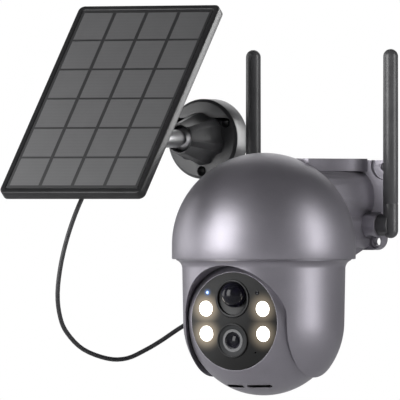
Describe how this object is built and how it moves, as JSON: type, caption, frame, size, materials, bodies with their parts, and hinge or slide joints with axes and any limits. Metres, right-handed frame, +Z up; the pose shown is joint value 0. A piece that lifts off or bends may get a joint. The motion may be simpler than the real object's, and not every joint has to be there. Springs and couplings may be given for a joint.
{
  "type": "solar security camera",
  "caption": "Grey pan and tilt security camera on a wall arm with fold-down antennas, and a solar panel on its own wall bracket, joined by a cord.",
  "frame": {"origin": "centre of the camera wall plate's back face, on the wall", "axes": "+Y into the wall, +Z up, the lens looks to -Y; the solar panel is on the -X side"},
  "size_m": [0.219, 0.2033, 0.2768],
  "materials": {
    "grey_body": "satin metallic paint",
    "grey_head": "satin metallic paint",
    "black_plastic": "fine grain",
    "dark_plastic": "smooth satin",
    "face_black": "satin, tinted window",
    "black_gloss": "polished",
    "lens_glass": "polished",
    "flood_lens": "frosted, lit",
    "status_blue": "lit",
    "gear_plastic": "moulded",
    "bright_steel": "plain",
    "circuit": "lacquered board",
    "cell_wrap": "shrink wrap",
    "panel_cover": "matt anti-glare",
    "solar_cell": "fine lines",
    "cord_rubber": "smooth jacket",
    "soft_rubber": "matt"
  },
  "bodies": {
    "base": {"wall_plate": "grey_body", "arm_body": "grey_body", "arm_cover": "grey_body", "hood": "grey_body", "bearing_plate": "dark_plastic", "main_board": "circuit", "pan_motor": "bright_steel", "battery_upper": "cell_wrap", "battery_lower": "cell_wrap", "power_socket": "dark_plastic", "port_cover": "soft_rubber", "wall_disc": "black_plastic", "solar_lead": "cord_rubber", "lead_coil": "cord_rubber", "lead_tail": "cord_rubber", "lead_plug": "soft_rubber", "tie_mount": "black_plastic", "cable_tie": "black_plastic"},
    "pan_pinion": {"pan_pinion": "gear_plastic"},
    "yoke": {"yoke_shell": "grey_body", "yoke_flare": "grey_body", "pan_gear": "gear_plastic", "arm_plate_left": "dark_plastic", "arm_plate_right": "dark_plastic", "tilt_motor": "bright_steel"},
    "tilt_pinion": {"tilt_pinion": "gear_plastic"},
    "head": {"head_shell": "grey_head", "tilt_shaft_left": "bright_steel", "tilt_shaft_right": "bright_steel", "shaft_clip": "bright_steel", "tilt_gear": "gear_plastic", "face_plate": "face_black", "flood_lens_upper_left": "flood_lens", "flood_lens_upper_right": "flood_lens", "flood_lens_lower_left": "flood_lens", "flood_lens_lower_right": "flood_lens", "head_board": "circuit", "motion_ring": "black_gloss", "motion_dome": "black_gloss", "motion_sensor": "bright_steel", "lens_bezel": "dark_plastic", "lens_barrel": "dark_plastic", "lens_glass": "lens_glass", "status_light": "status_blue", "light_sensor": "black_gloss", "speaker": "dark_plastic"},
    "left_antenna": {"antenna_left": "dark_plastic", "antenna_left_pivot": "dark_plastic"},
    "right_antenna": {"antenna_right": "dark_plastic", "antenna_right_pivot": "dark_plastic"},
    "nut": {"lock_nut": "black_plastic"},
    "stem": {"stem": "dark_plastic"},
    "panel": {"panel_frame": "dark_plastic", "cell_backing": "dark_plastic", "solar_cells": "solar_cell", "panel_glass": "panel_cover", "junction_box": "black_plastic", "panel_bracket": "black_plastic", "hinge_bolt": "bright_steel", "hinge_knob": "black_plastic"}
  },
  "joints": [
    {"name": "head_pan", "type": "hinge", "parent": "base", "child": "yoke", "pos_m": [0, -0.095, -0.08], "axis": [0, 0, 1], "range_deg": [-175, 175]},
    {"name": "pan_pinion_spin", "type": "hinge", "parent": "base", "child": "pan_pinion", "pos_m": [0, -0.13, 0], "axis": [0, 0, 1], "range_deg": [-710, 710]},
    {"name": "head_tilt", "type": "hinge", "parent": "yoke", "child": "head", "pos_m": [0, -0.095, -0.08], "axis": [1, 0, 0], "range_deg": [-15, 85]},
    {"name": "tilt_pinion_spin", "type": "hinge", "parent": "yoke", "child": "tilt_pinion", "pos_m": [-0.045, -0.095, -0.0608], "axis": [1, 0, 0], "range_deg": [-260, 50]},
    {"name": "left_antenna_fold", "type": "hinge", "parent": "base", "child": "left_antenna", "pos_m": [-0.0562, -0.0115, -0.0142], "axis": [1, 0, 0], "range_deg": [0, 60]},
    {"name": "right_antenna_fold", "type": "hinge", "parent": "base", "child": "right_antenna", "pos_m": [0.0562, -0.0115, -0.0142], "axis": [1, 0, 0], "range_deg": [0, 60]},
    {"name": "lock_nut_turn", "type": "hinge", "parent": "base", "child": "nut", "pos_m": [-0.096, -0.02, 0.0474], "axis": [0, -1, 0], "range_deg": [0, 120]},
    {"name": "stem_swing", "type": "hinge", "parent": "base", "child": "stem", "pos_m": [-0.096, -0.036, 0.0474], "axis": [0, 0, -1], "range_deg": [-16, 16], "deforming": ["solar_lead"]},
    {"name": "panel_tilt", "type": "hinge", "parent": "stem", "child": "panel", "pos_m": [-0.096, -0.1135, 0.0474], "axis": [1, 0, 0], "range_deg": [-40, 30], "deforming": ["solar_lead"]}
  ],
  "couplings": [
    {"joint": "pan_pinion_spin", "follows": "head_pan", "ratio": -4},
    {"joint": "tilt_pinion_spin", "follows": "head_tilt", "ratio": -3}
  ]
}
